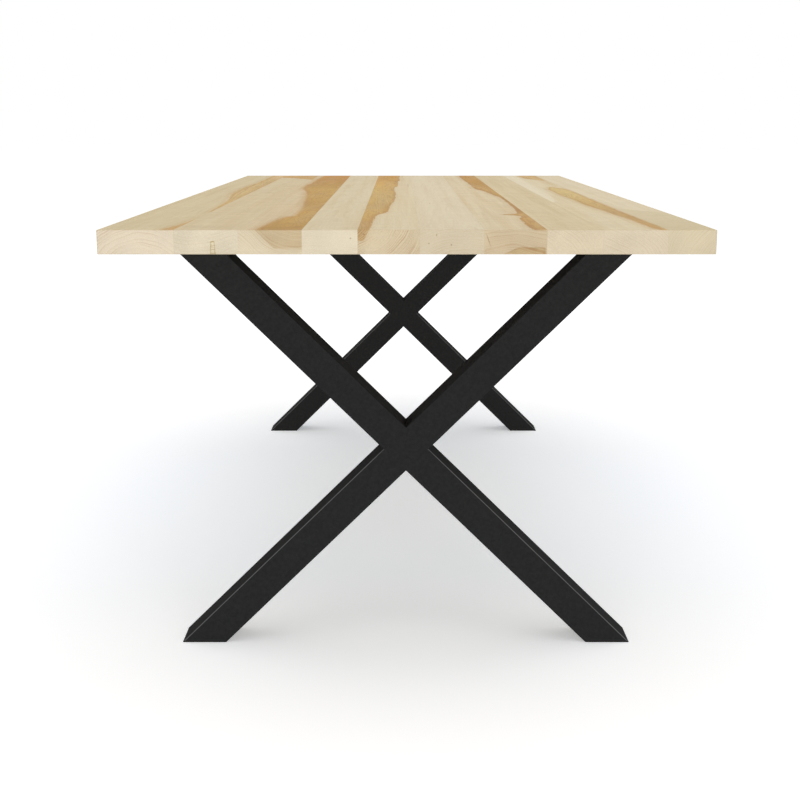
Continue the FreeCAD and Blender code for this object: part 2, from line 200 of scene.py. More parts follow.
BOARDS = {
    1: dict(
        sap="#CDBD98", tan="#C2AC80", end="#CDC0A9",
        pith=(64, -42), ring=5.0, clear=1.1, curl=0.05,
        streaks=[
            dict(
                face="top", depth=20, slope=(3, 0), on_end=0, halo=0.3, rim="#C29E62", soft=4,
                tones=[(0, "#C49C66"), (300, "#C9AC70"), (1600, "#CBAE72"), (2100, "#CFB080")],
                left=[(0, 98), (60, 106), (112, 112), (165, 115), (271, 121), (300, PAST),
                      (380, PAST), (402, 120), (561, 113), (710, 109), (872, 99), (1059, 83),
                      (1410, 77), (1634, 83), (2134, 80)],
                right=OPEN_RIGHT),
        ]),
    2: dict(
        sap="#CDBC98", tan="#C5AC80", end="#CBC0A8",
        pith=(35, 170), ring=4.0, clear=0.35, curl=0.08,
        streaks=[
            dict(
                face="top", depth=22, slope=(1, 0), on_end=0.6, halo=0.2, rim="#BC9250",
                tones=[(1800, "#C09A5C"), (2100, "#C39E62")],
                left=[(0, PAST), (1740, PAST), (1860, 84), (1935, 40), (1985, 2), (2040, -16),
                      (2134, -24)],
                right=OPEN_RIGHT),
            dict(
                face="under", depth=21, slope=(0.05, 0.05), on_end=1, halo=0, rim="#B09F72",
                rim_width=2.2, greyed=0,
                tones=[(0, "#D2C6A8"), (300, "#BDA878")],
                left=[(0, 56), (60, 56.5), (150, 60), (2134, 60)],
                right=[(0, 64.5), (60, 64), (150, 58), (2134, 58)]),
        ]),
    3: dict(
        sap="#CEBB97", tan="#C3A97C", end="#C8BBA0",
        pith=(102, 127), ring=3.0, clear=0.9, curl=0.06,
        streaks=[
            dict(
                face="top", depth=29, slope=(1.0, 0), on_end=0.42, halo=0.35, rim="#B68846",
                soft=6,
                tones=[(0, "#A67F3A"), (200, "#B99246"), (700, "#B58E46"), (1250, "#BD964A"),
                       (1500, "#B08940"), (1900, "#B98638")],
                left=[(0, 26), (80, 31), (161, 36), (240, 44), (297, 53), (325, 65), (502, 63),
                      (706, 53), (911, 43), (1156, 26), (1320, 9), (1388, 5), (1524, 5),
                      (1593, 11), (1865, 12), (2134, 19)],
                right=OPEN_RIGHT),
        ]),
    4: dict(
        sap="#D2C3A2", tan="#CAB68F", end="#C8BDA5",
        pith=(40, -240), ring=4.0, clear=0.35, curl=0.05,
        streaks=[],
        marks=[((76, 0, 25), (1.5, 30, 1.5), 0)]),
    5: dict(
        sap="#D6C7A6", tan="#CDB88F", end="#BFB093",
        pith=(-75, 130), ring=2.7, clear=3.0, curl=0.05,
        streaks=[
            dict(
                face="top", depth=17, slope=(0, 0.5), on_end=0.65, halo=0.15, rim="#B48B49",
                tones=[(40, "#B9914C"), (400, "#BF9B54"), (1100, "#C5A562"), (1800, "#C5994C"),
                       (2080, "#BC8D40")],
                left=OPEN_LEFT,
                right=[(0, 18), (160, 21), (325, 25), (430, 42), (640, 48), (840, 56), (1050, 56),
                       (1320, 51), (1450, 60), (1728, 61), (1800, 65), (2134, 64)]),
        ],
        marks=[((25, 1620, 38), (2.2, 16, 2.2), 0), ((87, 1480, 38), (1.0, 115, 1.0), 0),
               ((10, 0, 31), (1.8, 20, 1.3), 0)]),
    6: dict(
        sap="#D7C9AB", tan="#CFBC98", end="#BFB298",
        pith=(80, -130), ring=3.2, clear=0.6, curl=0.03,
        streaks=[],
        marks=[((60, 2000, 38), (1.2, 9, 1.2), 0), ((30, 690, 38), (1.0, 12, 1.0), 0),
               ((14, 0, 17), (1.3, 20, 1.3), 0), ((49, 0, 15), (1.5, 25, 1.5), 0),
               ((26, 0, 30), (1.1, 14, 1.8), 0)]),
    7: dict(
        sap="#D5C5A3", tan="#C6AD82", end="#BCAB8D",
        pith=(40, -190), ring=3.4, clear=1.4, curl=0.07,
        streaks=[
            dict(
                face="top", depth=20, slope=(3, 0), on_end=0, halo=0.25, rim="#AD8142",
                tones=[(40, "#B7904E"), (250, "#BD9652"), (900, "#B9924A"), (1900, "#B78A3E")],
                left=[(0, 75), (140, 75), (230, 74), (300, 82), (325, 77), (340, 66), (350, 53),
                      (362, 68), (380, 80), (440, 86), (640, 90), (900, 90), (980, 84),
                      (1190, 70), (1320, 55), (1600, 53), (1800, 50), (2134, 48)],
                right=OPEN_RIGHT),
            dict(
                face="under", depth=11, slope=(2.0, 0), on_end=0.6, halo=0, rim="#94783F",
                rim_width=6,
                tones=[(0, "#BCA472"), (800, "#B39A66")],
                left=[(0, 30), (400, 40), (700, 70), (900, 124), (2134, 124)],
                right=[(0, 95.5), (2134, 95.5)]),
        ],
        marks=[((91, 1850, 38), (1.6, 24, 1.6), 0), ((6, 0, 23), (0.8, 20, 10.5), -20)]),
    8: dict(
        sap="#D1C09B", tan="#C4AF83", end="#C6B89E",
        pith=(-80, -90), ring=3.6, clear=0.6, curl=0.08,
        streaks=[]),
    9: dict(
        sap="#D6C7A5", tan="#CBB68C", end="#C6B9A0",
        pith=(-30, -100), ring=3.4, clear=0.7, curl=0.05,
        streaks=[
            dict(
                face="top", depth=20, slope=(0, 0), on_end=0, halo=0, rim="#DACDAE", figured=0,
                tones=[(0, "#DDD1B4"), (2100, "#DDD1B4")],
                left=OPEN_LEFT,
                right=[(0, -25), (550, -20), (800, 12), (1000, 24), (1400, 32), (2134, 38)]),
            dict(
                face="top", depth=20, slope=(2, 2), on_end=0, halo=0.3, rim="#BA9250", soft=5,
                tones=[(40, "#BC9552"), (400, "#BC9958"), (1050, "#CDB374"), (1300, "#D0B77A"),
                       (2000, "#CAA96E")],
                left=[(0, 83), (297, 73), (502, 63), (665, 56), (843, 54), (1000, 49), (1250, 50),
                      (1330, 58), (1390, 66), (1440, 92), (1700, 92), (1760, 89), (1850, 68),
                      (1933, 50), (2100, 47), (2134, 47)],
                right=[(0, 100), (297, 97), (502, 96), (665, 96), (843, 96), (1100, 97),
                       (1250, 95), (1330, 84), (1390, 72), (1440, 80), (1700, 86), (1760, 92),
                       (1850, 96), (2134, 97)]),
        ]),
    10: dict(
        sap="#D8CAAB", tan="#CFBC95", end="#C2B599",
        pith=(160, -60), ring=3.4, clear=0.6, curl=0.05,
        streaks=[
            dict(
                face="top", depth=20, slope=(0, 1), on_end=0, halo=0.5, rim="#CBBB96", figured=0,
                tones=[(0, "#C8B892"), (400, "#CEBF9B")],
                left=OPEN_LEFT,
                right=[(0, PAST), (60, PAST), (560, -10), (640, -25), (2134, -25)]),
        ]),
}
RING_BROWN = "#95683A"
MARK_BROWN = "#6E4722"
END_BROWN = "#A28A60"    # heartwood looks greyer in end grain

# The patterns in the wood: a grain's size in millimetres across, along and up, and
# the noise's detail and roughness
FIGURE = {
    "sway": ((70, 520, 70), 2, 0.5),       # how the pith wanders
    "patches": ((36, 300, 36), 2, 0.5),    # where rings and heartwood show less
    "fibre": ((0.8, 70, 0.8), 3, 0.6),     # coarser than real fibre, so that it shows
    "flecks": ((0.6, 5, 1.5), 1, 0.5),     # the size of a ray fleck
    "pores": ((1.3, 9, 1.3), 2, 0.6),      # coarser than real pores, so that they show
    "curl": ((60, 20, 60), 2, 0.55),       # a broad curl
    "cloud": ((15, 620, 15), 3, 0.5),      # where sapwood turns to the board's tan
    "tide": ((45, 330, 45), 2, 0.5),       # the level whose contours are the loops
}
HEART_FIGURE = {
    "feather": ((7, 75, 7), 4, 0.62),      # the ragged sides of heartwood
    "splinter": ((1.6, 45, 1.6), 2, 0.6),
}
NOISE_STEP = 7.3         # from one board's noise to the next board's

# Growth rings, in millimetres
PITH_SWAY = 24           # the range in which the pith wanders
LOG_TAPER = 0.012        # how much wider the log gets for each millimetre of board
GOOD_YEARS = 0.07        # how quickly good and lean years follow each other
YEARS_OFF = 4            # how many years they shift a ring
LATE_POWER = 4           # how tightly late wood keeps to the end of its year
LOOP_COUNT = 15          # loops of flat-sawn grain between the lowest and highest tide
LOOP_POWER = 3           # how thin a loop's line is

# How strongly rings and loops show: in sapwood, how much more in heartwood, and how
# much more in end grain
RINGS_SAP, RINGS_HEART, RINGS_END = 0.1, 0.22, 0.26
LOOPS_SAP, LOOPS_HEART = 0.05, 0.3

# Heartwood, in millimetres
FEATHER = 3.5            # how far its sides stray to either side of their lines
SPLINTER = 6             # how far apart the tips of single fibres end
RAGGED_FACE, RAGGED_END = 1.25, 0.2    # how much of both shows on the faces, and in end grain
BLEND = 5                # how roundly a streak's sides turn into its floor
END_SOFT = 0.8           # how softly its edge sets in where it shows in end grain
HALO_WIDTH = 15
RIM_UNEVEN = 0.4         # as a share of the rim's width
MARK_SHARE = 0.5         # how strongly a pin knot or mineral line shows

# How much each thing lightens or darkens the wood
FIBRE_SHADE = 0.09
PORE_SHADE = 0.09
TIDE_SHADE = 0.03
FLECK_SHADE = -0.09
GLUE_SHADE = -0.1        # the hair of dark at a glue line
MOTTLE = (0.05, -0.09)   # from the lightest to the darkest tide of heartwood


def board_space(add, number, figure):
    """Where a point lies in a board, in millimetres from its corner, and its patterns."""
    low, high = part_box(f"tabletop_board_{number:02d}")
    coordinates = add("TexCoord")
    place = add("Mapping", {"Vector": coordinates.outputs["Object"], "Location": low,
                            "Scale": (0.001, 0.001, 0.001)}, vector_type="TEXTURE")
    across, along, up = add("SeparateXYZ", place).outputs
    normal_x, normal_y, _ = add("SeparateXYZ", coordinates.outputs["Normal"]).outputs
    end_grain = add("MapRange", add("Math", normal_y, operation="ABSOLUTE"), 0.4, 0.8)
    off_sides = add("MapRange", add("Math", normal_x, operation="ABSOLUTE"), 0.6, 0.4)
    patterns = {}
    for name, (size, detail, roughness) in figure.items():
        scaled = add("Mapping", {"Vector": place, "Scale": size}, vector_type="TEXTURE")
        patterns[name] = add("TexNoise", scaled, NOISE_STEP * number, 1, detail, roughness,
                             noise_dimensions="4D")
    return SimpleNamespace(place=place, across=across, along=along, up=up,
                           width=1000 * (high.x - low.x), end_grain=end_grain,
                           off_sides=off_sides, **patterns)


def growth_rings(add, wood, board):
    """The late wood of each year, in rings round a pith that wanders and tapers."""
    sway = add("VectorMath", wood.sway.outputs["Color"], (0.5, 0.5, 0.5),
               operation="SUBTRACT")
    swayed = add("VectorMath", sway, (PITH_SWAY, 0, PITH_SWAY), wood.place,
                 operation="MULTIPLY_ADD")
    pith_across, pith_up = board["pith"]
    from_pith = add("Mapping", {"Vector": swayed, "Scale": (1, 0, 1),
                                "Location": (-pith_across, 0, -pith_up)})
    distance = add("VectorMath", from_pith, operation="LENGTH")
    radius = add("Math", wood.along, LOG_TAPER, distance, operation="MULTIPLY_ADD")
    slow = add("Math", radius, GOOD_YEARS, operation="MULTIPLY")
    uneven = add("TexNoise", slow, 1, noise_dimensions="1D")
    years = add("Math", radius, board["ring"], operation="DIVIDE")
    years = add("Math", uneven, YEARS_OFF, years, operation="MULTIPLY_ADD")
    growth = add("Math", years, operation="FRACT")
    late_wood = add("Math", growth, LATE_POWER, operation="POWER")
    patches = add("MapRange", wood.patches, 0.3, 0.6)
    return add("Math", late_wood, patches, operation="MULTIPLY")


def flat_sawn_loops(add, wood):
    """Loops of grain on the faces, which are the contours of a slow pattern."""
    contour = add("Math", wood.tide, LOOP_COUNT, operation="MULTIPLY")
    contour = add("Math", contour, operation="FRACT")
    loops = add("Math", contour, LOOP_POWER, operation="POWER")
    on_faces = add("Math", 1, wood.end_grain, operation="SUBTRACT")
    return add("Math", loops, on_faces, operation="MULTIPLY")


def ready_for_heartwood(add, wood):
    """Add to a board's space what all of its streaks share."""
    wood.under_top = add("Math", TOP_THICK, wood.up, operation="SUBTRACT")
    wood.length_share = add("Math", wood.along, TOP_LENGTH, operation="DIVIDE")
    wood.mixed = add("MapRange", wood.patches, 0.45, 0.7, 1, 0.82)
    feather = add("MapRange", wood.feather, 0, 1, -FEATHER, FEATHER)
    feather = add("Math", wood.splinter, SPLINTER, feather, operation="MULTIPLY_ADD")
    feather = add("Math", feather, SPLINTER / 2, operation="SUBTRACT")
    ragged = add("MapRange", wood.end_grain, 0, 1, RAGGED_FACE, RAGGED_END)
    wood.feathered = add("Math", feather, ragged, operation="MULTIPLY")


def reach_inside(add, wood, streak):
    """How many millimetres a point lies inside a streak, and less than 0 outside it."""
    deep = wood.under_top if streak["face"] == "top" else wood.up
    inside = add("Math", streak["depth"], deep, operation="SUBTRACT")
    for side, sign, slope in zip(("left", "right"), (1, -1), streak["slope"]):
        line = add("FloatCurve", {"Value": wood.length_share}, points=[
            (far / TOP_LENGTH, (out - LINE_LOW) / (LINE_HIGH - LINE_LOW))
            for far, out in streak[side]])
        line = add("MapRange", line, 0, 1, LINE_LOW, LINE_HIGH)
        gap = add("Math", wood.across, line, operation="SUBTRACT")
        gap = add("Math", gap, sign, operation="MULTIPLY")
        gap = add("Math", deep, -slope, gap, operation="MULTIPLY_ADD")
        inside = add("Math", inside, gap, BLEND, operation="SMOOTH_MIN")
    return add("Math", inside, wood.feathered, operation="ADD")


def heartwood(add, wood, streak):
    """How much of a streak shows at a point, and its tone there, with a rim."""
    inside = reach_inside(add, wood, streak)
    softness = add("MapRange", wood.end_grain, 0, 1, streak["soft"], END_SOFT)
    heart = add("Math", inside, softness, operation="DIVIDE")
    heart = add("MapRange", heart, -1, 1, interpolation_type="SMOOTHSTEP")
    halo = add("MapRange", inside, -HALO_WIDTH, 0, 0, streak["halo"])
    heart = add("Math", heart, halo, operation="MAXIMUM")
    shown = add("MapRange", wood.end_grain, 0, 1, wood.mixed, streak["on_end"])
    heart = add("Math", heart, shown, operation="MULTIPLY")

    off = RIM_UNEVEN * streak["rim_width"]
    uneven = add("MapRange", wood.cloud, 0.35, 0.65, -off, off)
    core = add("Math", inside, uneven, operation="ADD")
    core = add("MapRange", core, 0, streak["rim_width"], interpolation_type="SMOOTHSTEP")
    if streak["face"] == "top":
        core = add("Math", core, wood.end_grain, operation="MAXIMUM")
    tone = add("ValToRGB", wood.length_share, stops=[
        (far / TOP_LENGTH, linear(code)) for far, code in streak["tones"]])
    tone = add("Mix", core, linear(streak["rim"]), tone, data_type="RGBA")
    greyed = add("Math", wood.end_grain, streak["greyed"], operation="MULTIPLY")
    tone = add("Mix", greyed, tone, linear(END_BROWN), data_type="RGBA")
    return heart, tone


def shading(add, wood, board, hearts, flecks):
    """How light the wood is at a point, by its fibre, flecks, curl, pores and glue."""
    shade = add("MapRange", wood.fibre, 0, 1, 1 + FIBRE_SHADE, 1 - FIBRE_SHADE, clamp=False)
    shade = add("Math", flecks, FLECK_SHADE, shade, operation="MULTIPLY_ADD")
    curl = add("MapRange", wood.curl, 0.2, 0.8, board["curl"], -board["curl"])
    shade = add("Math", shade, curl, operation="ADD")
    mottle = add("MapRange", wood.tide, 0.3, 0.7, *MOTTLE)
    shade = add("Math", hearts, mottle, shade, operation="MULTIPLY_ADD")
    pores = add("MapRange", wood.pores, 0.25, 0.75, PORE_SHADE, -PORE_SHADE)
    clouds = add("MapRange", wood.tide, 0.3, 0.7, TIDE_SHADE, -TIDE_SHADE)
    speckle = add("Math", pores, clouds, operation="ADD")
    shade = add("Math", wood.end_grain, speckle, shade, operation="MULTIPLY_ADD")
    far_side = add("Math", wood.width, wood.across, operation="SUBTRACT")
    to_side = add("Math", wood.across, far_side, operation="MINIMUM")
    glue = add("MapRange", to_side, 0.35, 0.1)
    glue = add("Math", glue, wood.off_sides, operation="MULTIPLY")
    return add("Math", glue, GLUE_SHADE, shade, operation="MULTIPLY_ADD")


def maple(number, board):
    """Hard maple for one board, with its rings round the board's own pith."""
    made, add = new_material(f"maple_board_{number:02d}_hardwax_oil")
    figure = FIGURE | HEART_FIGURE if board["streaks"] else FIGURE
    wood = board_space(add, number, figure)
    late_wood = growth_rings(add, wood, board)
    loops = flat_sawn_loops(add, wood)

    cloudy = add("MapRange", wood.cloud, 0.4, 0.75, 0, 0.7)
    faces = add("Mix", cloudy, linear(board["sap"]), linear(board["tan"]), data_type="RGBA")
    colour = add("Mix", wood.end_grain, faces, linear(board["end"]), data_type="RGBA")

    hearts = 0.0
    if board["streaks"]:
        ready_for_heartwood(add, wood)
    for own in board["streaks"]:
        streak = USUAL_STREAK | own
        heart, tone = heartwood(add, wood, streak)
        colour = add("Mix", heart, colour, tone, data_type="RGBA")
        figured = add("Math", heart, streak["figured"], operation="MULTIPLY")
        hearts = add("Math", hearts, figured, operation="MAXIMUM")

    ring_share = add("Math", hearts, RINGS_HEART, RINGS_SAP, operation="MULTIPLY_ADD")
    clear = add("Math", hearts, board["clear"], operation="ADD")
    end_share = add("Math", wood.end_grain, RINGS_END, operation="MULTIPLY")
    ring_share = add("Math", end_share, clear, ring_share, operation="MULTIPLY_ADD")
    ring_share = add("Math", late_wood, ring_share, operation="MULTIPLY")
    loop_share = add("Math", hearts, LOOPS_HEART, LOOPS_SAP, operation="MULTIPLY_ADD")
    ring_share = add("Math", loops, loop_share, ring_share, operation="MULTIPLY_ADD")
    colour = add("Mix", ring_share, colour, linear(RING_BROWN), data_type="RGBA")

    for middle, half_sizes, lean in board.get("marks", ()):
        turned = (0, math.radians(lean), 0)
        offset = add("Mapping", {"Vector": wood.place, "Location": middle,
                     "Rotation": turned, "Scale": half_sizes}, vector_type="TEXTURE")
        far = add("VectorMath", offset, operation="LENGTH")
        dark = add("MapRange", far, 1.3, 0.3, 0, MARK_SHARE)
        colour = add("Mix", dark, colour, linear(MARK_BROWN), data_type="RGBA")

    flecks = add("MapRange", wood.flecks, 0.6, 0.72)
    shade = shading(add, wood, board, hearts, flecks)
    colour = add("VectorMath", {"Vector": colour, "Scale": shade}, operation="SCALE")
    # The matt oil: roughness 0.5 to 0.66, and a trace of relief from fibre and rings
    rough = add("Math", wood.fibre, 0.16, 0.5, operation="MULTIPLY_ADD")
    relief = add("Math", wood.fibre, flecks, operation="ADD")
    relief = add("Math", late_wood, 0.5, relief, operation="MULTIPLY_ADD")
    bump = add("Bump", {"Height": relief, "Strength": 0.3, "Distance": 0.00005})
    shader = add("BsdfPrincipled", {"Base Color": colour, "Roughness": rough,
                 "Normal": bump, "IOR": 1.45, "Specular IOR Level": 0.1})
    add("OutputMaterial", {"Surface": shader})
    return made


# The patterns of the other finishes, in metres
COAT_GRAIN = 0.0009      # the sandy grain, three times as coarse as real, so that it shows
COAT_WAVES = 0.006       # the low waves that the film keeps from melting
COAT_DRIFT = 0.09        # from a thicker to a thinner part of the film
RUBBER_SKIN = 0.0012     # the moulded grain, three times as coarse as real
RUBBER_DUST = 0.02
ZINC_BLOOM = 0.004       # patches of the passivated skin
ZINC_MARKS = 0.0007      # small dents from the barrel that the bolts are plated in
BRASS_LINES = 0.003      # the length of a turned line
BRASS_FEED = 12          # turned lines are this much finer, which makes them 0.25 mm
HIGHLIGHT_TOP, HIGHLIGHT_FULL = 0.38, 0.34   # the painted highlight on the corners of the legs sets in below these heights


def powder_coat():
    """Black polyester powder coat: matt, with a fine sandy grain that hides gloss.

    Up-turned rounded corners of the lower legs get a lighter tone, which is a painted highlight,
    and a smoother, less rough finish.
    """
    made, add = new_material("matt_black_powder_coat")
    coordinates = add("TexCoord")
    place = coordinates.outputs["Object"]
    grain = add("TexNoise", {"Vector": place, "Scale": 1 / COAT_GRAIN, "Detail": 2})
    waves = add("TexNoise", {"Vector": place, "Scale": 1 / COAT_WAVES, "Detail": 3,
                             "Roughness": 0.6})
    drift = add("TexNoise", {"Vector": place, "Scale": 1 / COAT_DRIFT, "Detail": 2})
    tone = add("ValToRGB", waves, stops=[(0.3, linear("#222222")), (0.72, linear("#282828"))])

    # A painted highlight and a smoother finish where the surface is rounded, neither side nor
    # flat, turned up a little, and low on the legs
    _, normal_y, normal_z = add("SeparateXYZ", coordinates.outputs["Normal"]).outputs
    forward = add("Math", normal_y, operation="ABSOLUTE")
    off_side = add("MapRange", forward, 0.15, 0.4)
    off_flat = add("MapRange", forward, 0.97, 0.85)
    turned_up = add("MapRange", normal_z, 0.0, 0.25, 0, 0.8)
    low_down = add("MapRange", add("SeparateXYZ", place).outputs["Z"], HIGHLIGHT_TOP, HIGHLIGHT_FULL)
    polish_and_highlight = add("Math", off_side, off_flat, operation="MULTIPLY")
    polish_and_highlight = add("Math", polish_and_highlight, turned_up, operation="MULTIPLY")
    polish_and_highlight = add("Math", polish_and_highlight, low_down, operation="MULTIPLY")
    # the lighter tone here is a painted highlight
    tone = add("Mix", polish_and_highlight, tone, linear("#686868"), data_type="RGBA")
    rough = add("MapRange", waves, 0, 1, 0.66, 0.82)
    rough = add("Math", drift, 0.08, rough, operation="MULTIPLY_ADD")
    rough = add("Math", polish_and_highlight, -0.2, rough, operation="MULTIPLY_ADD")
    coarse = add("Bump", {"Height": waves, "Strength": 0.9, "Distance": 0.0004})
    fine = add("Bump", {"Height": grain, "Strength": 0.3, "Distance": 0.00008,
                        "Normal": coarse})
    shader = add("BsdfPrincipled", {"Base Color": tone, "Roughness": rough,
                 "Normal": fine, "Specular IOR Level": 0.014})
    add("OutputMaterial", {"Surface": shader})
    return made


def pad_rubber():
    """Black rubber sheet, moulded with a matt skin that dust dulls."""
    made, add = new_material("black_rubber_sheet")
    place = add("TexCoord").outputs["Object"]
    skin = add("TexNoise", {"Vector": place, "Scale": 1 / RUBBER_SKIN, "Detail": 3})
    dust = add("TexNoise", {"Vector": place, "Scale": 1 / RUBBER_DUST, "Detail": 3})
    tone = add("ValToRGB", dust, stops=[(0.35, linear("#151515")), (0.75, linear("#1F1E1D"))])
    rough = add("MapRange", dust, 0, 1, 0.68, 0.88)
    bump = add("Bump", {"Height": skin, "Strength": 0.5, "Distance": 0.0002})
    shader = add("BsdfPrincipled", {"Base Color": tone, "Roughness": rough,
                 "Normal": bump, "Specular IOR Level": 0.2})
    add("OutputMaterial", {"Surface": shader})
    return made


def zinc_plate():
    """Bright zinc-plated steel: a bluish passivated skin with fine handling marks."""
    made, add = new_material("zinc_plated_steel")
    place = add("TexCoord").outputs["Object"]
    bloom = add("TexNoise", {"Vector": place, "Scale": 1 / ZINC_BLOOM, "Detail": 4})
    tone = add("ValToRGB", bloom, stops=[(0.35, linear("#A9AEB2")), (0.7, linear("#C4C3BC"))])
    rough = add("MapRange", bloom, 0, 1, 0.2, 0.45)
    marks = add("TexNoise", {"Vector": place, "Scale": 1 / ZINC_MARKS, "Detail": 2})
    bump = add("Bump", {"Height": marks, "Strength": 0.2, "Distance": 0.00005})
    shader = add("BsdfPrincipled", {"Base Color": tone, "Metallic": 1, "Roughness": rough,
                 "Normal": bump})
    add("OutputMaterial", {"Surface": shader})
    return made


def turned_brass():
    """Brass turned on a lathe: fine rings round the bore, slightly dulled."""
    made, add = new_material("turned_brass")
    place = add("TexCoord").outputs["Object"]
    stretched = add("Mapping", {"Vector": place, "Scale": (1, 1, BRASS_FEED)})
    lines = add("TexNoise", {"Vector": stretched, "Scale": 1 / BRASS_LINES, "Detail": 3})
    tone = add("ValToRGB", lines, stops=[(0.3, linear("#A98A45")), (0.75, linear("#C9AC66"))])
    rough = add("MapRange", lines, 0, 1, 0.24, 0.44)
    shader = add("BsdfPrincipled", {"Base Color": tone, "Metallic": 1, "Roughness": rough})
    add("OutputMaterial", {"Surface": shader})
    return made


# --- modelling ---------------------------------------------------------------

def select_only(piece):
    bpy.ops.object.select_all(action="DESELECT")
    piece.select_set(True)
    bpy.context.view_layer.objects.active = piece


def pick(piece, kind, test):
    """Go into edit mode with just the vertices, edges or faces that pass a test."""
    select_only(piece)
    bpy.ops.object.mode_set(mode="EDIT")
    bpy.ops.mesh.select_mode(type=kind)
    bpy.ops.mesh.select_all(action="DESELECT")
    bpy.ops.object.mode_set(mode="OBJECT")
    mesh = piece.data
    for item in {"VERT": mesh.vertices, "EDGE": mesh.edges, "FACE": mesh.polygons}[kind]:
        item.select = test(item)
    bpy.ops.object.mode_set(mode="EDIT")


def pick_edges(piece, test):
    """Go into edit mode with just the edges whose two ends pass a test."""
    corners = piece.data.vertices
    pick(piece, "EDGE", lambda edge: test(*(corners[end].co for end in edge.vertices)))


def done_editing():
    bpy.ops.object.mode_set(mode="OBJECT")


def round_picked(width, facets):
    """Bevel the edges that are picked, and leave edit mode."""
    bpy.ops.mesh.bevel(offset=width, segments=facets, affect="EDGES")
    done_editing()


def apply_modifier(piece, name, kind, **settings):
    select_only(piece)
    modifier = piece.modifiers.new(name, kind)
    for setting, given in settings.items():
        setattr(modifier, setting, given)
    bpy.ops.object.modifier_apply(modifier=name)


def combine(piece, tool, operation):
    """Shape a piece with a tool, by a Boolean, and put the tool away."""
    apply_modifier(piece, "cut", "BOOLEAN", object=tool, operation=operation, solver="EXACT")
    bpy.data.objects.remove(tool)


def apply_place(piece):
    """Put a piece's place into its mesh, with its object at the origin."""
    select_only(piece)
    bpy.ops.object.transform_apply()


def new_cylinder(sides, radius, length, middle, turn=(0, 0, 0)):
    """A round or many-sided bar, upright unless it is turned, with its place applied."""
    bpy.ops.mesh.primitive_cylinder_add(vertices=sides, radius=radius, depth=length,
                                        location=middle, rotation=turn)
    bar = bpy.context.object
    apply_place(bar)
    return bar


def cut_off(piece, at, outward):
    """Saw off what lies outward of a plane, and close the cut."""
    pick(piece, "FACE", lambda face: True)
    bpy.ops.mesh.bisect(plane_co=at, plane_no=outward, use_fill=True, clear_outer=True)
    done_editing()


def joined(name, pieces):
    """One piece made of several."""
    bpy.ops.object.select_all(action="DESELECT")
    for piece in pieces:
        piece.select_set(True)
    bpy.context.view_layer.objects.active = pieces[0]
    bpy.ops.object.join()
    whole = bpy.context.object
    whole.name = whole.data.name = name
    return whole


def copy_of(piece, shift=(0, 0, 0), turn=0, mirrored=False):
    """A copy with its own mesh, mirrored left to right, turned and moved."""
    twin = piece.copy()
    twin.data = piece.data.copy()
    bpy.context.scene.collection.objects.link(twin)
    twin.scale.x = -1 if mirrored else 1
    twin.rotation_euler.z = turn
    twin.location = shift
    apply_place(twin)
    if mirrored:
        pick(twin, "FACE", lambda face: True)
        bpy.ops.mesh.normals_make_consistent(inside=False)
        done_editing()
    return twin


def smooth(piece):
    """Shade the rounded edges smooth and leave the flats flat."""
    select_only(piece)
    bpy.ops.object.shade_smooth_by_angle(angle=math.radians(35))
    apply_modifier(piece, "weighted", "WEIGHTED_NORMAL", keep_sharp=True, weight=100)


def finish_piece(piece, node_names, finish):
    """Smooth and coat a piece, and let it stand in for its nodes."""
    smooth(piece)
    paint(piece, finish)
    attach(piece, "root")
    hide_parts(*node_names)


def bar_blank(name, rise, low, high, frame_y, wall=0):
    """A length of solid bar that leans as a leg does, sawn level at both ends.

    With a wall, it is what the bore of a tube takes away, which has square corners.
    """
    bpy.ops.mesh.primitive_cube_add(size=1, location=(0, 0, 0))
    bar = bpy.context.object
    bar.name = bar.data.name = name
    bar.scale = (BAR_FACE - 2 * wall, BAR_DEPTH - 2 * wall, BLANK_LENGTH)
    apply_place(bar)
    if not wall:
        pick_edges(bar, lambda start, end: abs(start.z - end.z) > BLANK_LENGTH / 2)
        round_picked(BAR_CORNER, CORNER_FACETS)
    bar.rotation_euler = (0, rise * LEAN, 0)
    bar.location = (0, frame_y, LEG_HEIGHT / 2)
    apply_place(bar)
    cut_off(bar, (0, 0, low), (0, 0, -1))
    cut_off(bar, (0, 0, high), (0, 0, 1))
    return bar


def x_frame(end, coat):
    """The three tubes of one X and the caps of its feet."""
    frame_y = FRAME_Y[end]
    tube = (CAP_TOP, PLATE_UNDERSIDE, frame_y)
    past_tube = (CAP_TOP - SAW_PAST, PLATE_UNDERSIDE + SAW_PAST, frame_y)
    through = bar_blank(f"{end}_through_tube", 1, *tube)
    combine(through, bar_blank("bore", 1, *past_tube, wall=BAR_WALL), "DIFFERENCE")
    pieces = [(through, [f"{end}_through_bar"])]
    middle = Vector((0, frame_y, LEG_HEIGHT / 2))
    for which, side in (("upper", -1), ("lower", 1)):
        half = bar_blank(f"{end}_{which}_half_tube", -1, *tube)
        joint = middle + side * (BAR_FACE / 2 - COPE_LAP) * ACROSS_BAR
        cut_off(half, joint, -side * ACROSS_BAR)
        combine(half, bar_blank("cope", 1, *past_tube), "DIFFERENCE")
        combine(half, bar_blank("bore", -1, *past_tube, wall=BAR_WALL), "DIFFERENCE")
        pieces.append((half, [f"{end}_{which}_half_bar"]))
    for side, rise in (("left", 1), ("right", -1)):
        cap = bar_blank(f"{end}_{side}_foot_end", rise, CAP_UNDERSIDE, CAP_TOP, frame_y)
        pieces.append((cap, [f"{end}_{side}_foot_cap"]))
    for piece, names in pieces:
        finish_piece(piece, names, coat)


